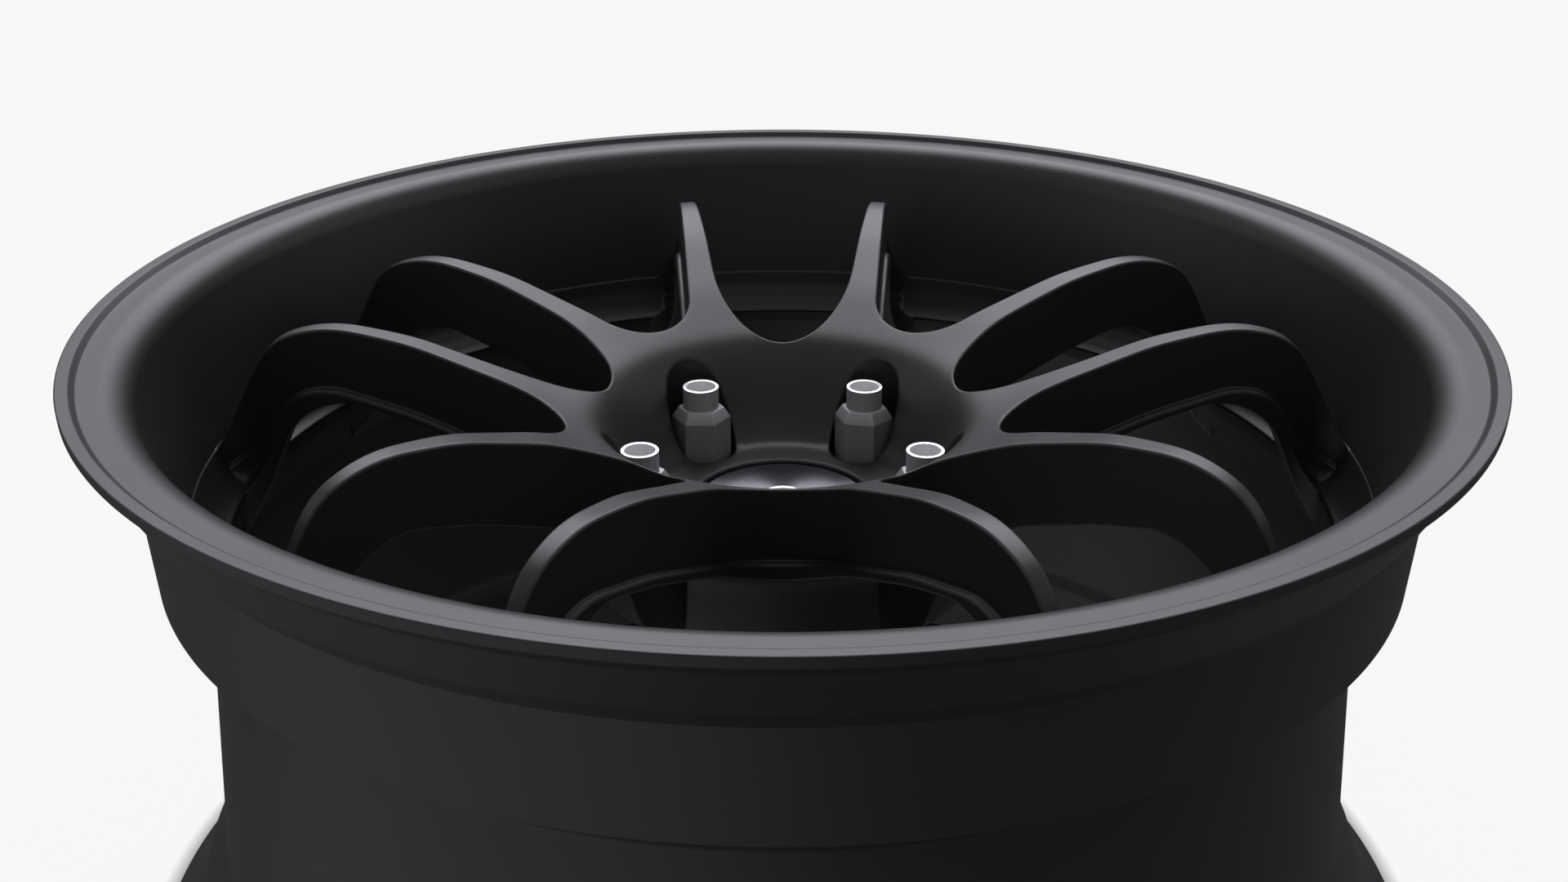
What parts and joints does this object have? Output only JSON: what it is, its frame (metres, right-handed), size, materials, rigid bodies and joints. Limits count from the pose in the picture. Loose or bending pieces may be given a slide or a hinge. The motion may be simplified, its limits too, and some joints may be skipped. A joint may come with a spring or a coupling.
{
  "type": "forged racing wheel",
  "caption": "Deep-dish forged car wheel with paired spokes, open-ended lug nuts, centre cap and clamp-in valve.",
  "frame": {"origin": "centre of the rear flange plane, on the wheel axis", "axes": "+Z along the wheel axis towards the outboard face; +X and +Y across the wheel, with one spoke window centred on +Y"},
  "size_m": [0.5219, 0.522, 0.265],
  "materials": {
    "forging_coating": "satin black coating over forged aluminium",
    "seat_steel": "machined steel",
    "collar_steel": "plain turned steel",
    "nut_steel": "dark satin steel with bright edges",
    "cap_metal": "spun, black anodised",
    "cap_plastic": "moulded black plastic",
    "spring_wire": "bright spring wire",
    "ring_alloy": "machined alloy",
    "rubber": "moulded rubber",
    "valve_cap_metal": "black anodised",
    "brass": "turned brass",
    "valve_metal": "black anodised"
  },
  "bodies": {
    "wheel": {"wheel_forging": "forging_coating", "hub_ring": "ring_alloy", "seat_insert_1": "seat_steel", "seat_insert_2": "seat_steel", "seat_insert_3": "seat_steel", "seat_insert_4": "seat_steel", "seat_insert_5": "seat_steel", "valve_stem": "valve_metal", "valve_grommet": "rubber", "valve_washer": "valve_metal", "valve_nut": "valve_metal", "valve_core": "brass"},
    "collar_1": {"nut_collar_1": "collar_steel"},
    "nut_1": {"lug_nut_1": "nut_steel"},
    "collar_2": {"nut_collar_2": "collar_steel"},
    "nut_2": {"lug_nut_2": "nut_steel"},
    "collar_3": {"nut_collar_3": "collar_steel"},
    "nut_3": {"lug_nut_3": "nut_steel"},
    "collar_4": {"nut_collar_4": "collar_steel"},
    "nut_4": {"lug_nut_4": "nut_steel"},
    "collar_5": {"nut_collar_5": "collar_steel"},
    "nut_5": {"lug_nut_5": "nut_steel"},
    "centre_cap": {"cap_cover": "cap_metal", "cap_body": "cap_plastic", "cap_spring_ring": "spring_wire"},
    "valve_pin": {"valve_pin": "brass"},
    "valve_cap": {"valve_cap": "valve_cap_metal"}
  },
  "joints": [
    {"name": "nut_1_lift", "type": "slide", "parent": "wheel", "child": "collar_1", "axis": [0, 0, 1], "range_m": [0, 0.045]},
    {"name": "nut_1_spin", "type": "hinge", "parent": "collar_1", "child": "nut_1", "pos_m": [0.03359, 0.04623, 0.18], "axis": [0, 0, 1], "continuous": true},
    {"name": "nut_2_lift", "type": "slide", "parent": "wheel", "child": "collar_2", "axis": [0, 0, 1], "range_m": [0, 0.045]},
    {"name": "nut_2_spin", "type": "hinge", "parent": "collar_2", "child": "nut_2", "pos_m": [-0.03359, 0.04623, 0.18], "axis": [0, 0, 1], "continuous": true},
    {"name": "nut_3_lift", "type": "slide", "parent": "wheel", "child": "collar_3", "axis": [0, 0, 1], "range_m": [0, 0.045]},
    {"name": "nut_3_spin", "type": "hinge", "parent": "collar_3", "child": "nut_3", "pos_m": [-0.05435, -0.01766, 0.18], "axis": [0, 0, 1], "continuous": true},
    {"name": "nut_4_lift", "type": "slide", "parent": "wheel", "child": "collar_4", "axis": [0, 0, 1], "range_m": [0, 0.045]},
    {"name": "nut_4_spin", "type": "hinge", "parent": "collar_4", "child": "nut_4", "pos_m": [0, -0.05715, 0.18], "axis": [0, 0, 1], "continuous": true},
    {"name": "nut_5_lift", "type": "slide", "parent": "wheel", "child": "collar_5", "axis": [0, 0, 1], "range_m": [0, 0.045]},
    {"name": "nut_5_spin", "type": "hinge", "parent": "collar_5", "child": "nut_5", "pos_m": [0.05435, -0.01766, 0.18], "axis": [0, 0, 1], "continuous": true},
    {"name": "centre_cap_pull", "type": "slide", "parent": "wheel", "child": "centre_cap", "axis": [0, 0, 1], "range_m": [0, 0.035]},
    {"name": "valve_pin_press", "type": "slide", "parent": "wheel", "child": "valve_pin", "axis": [0, -1, 0], "range_m": [0, 0.0012], "stiffness_N_per_m": 400, "springref_m": -0.0005},
    {"name": "valve_cap_off", "type": "slide", "parent": "wheel", "child": "valve_cap", "axis": [0, 1, 0], "range_m": [0, 0.02]}
  ]
}
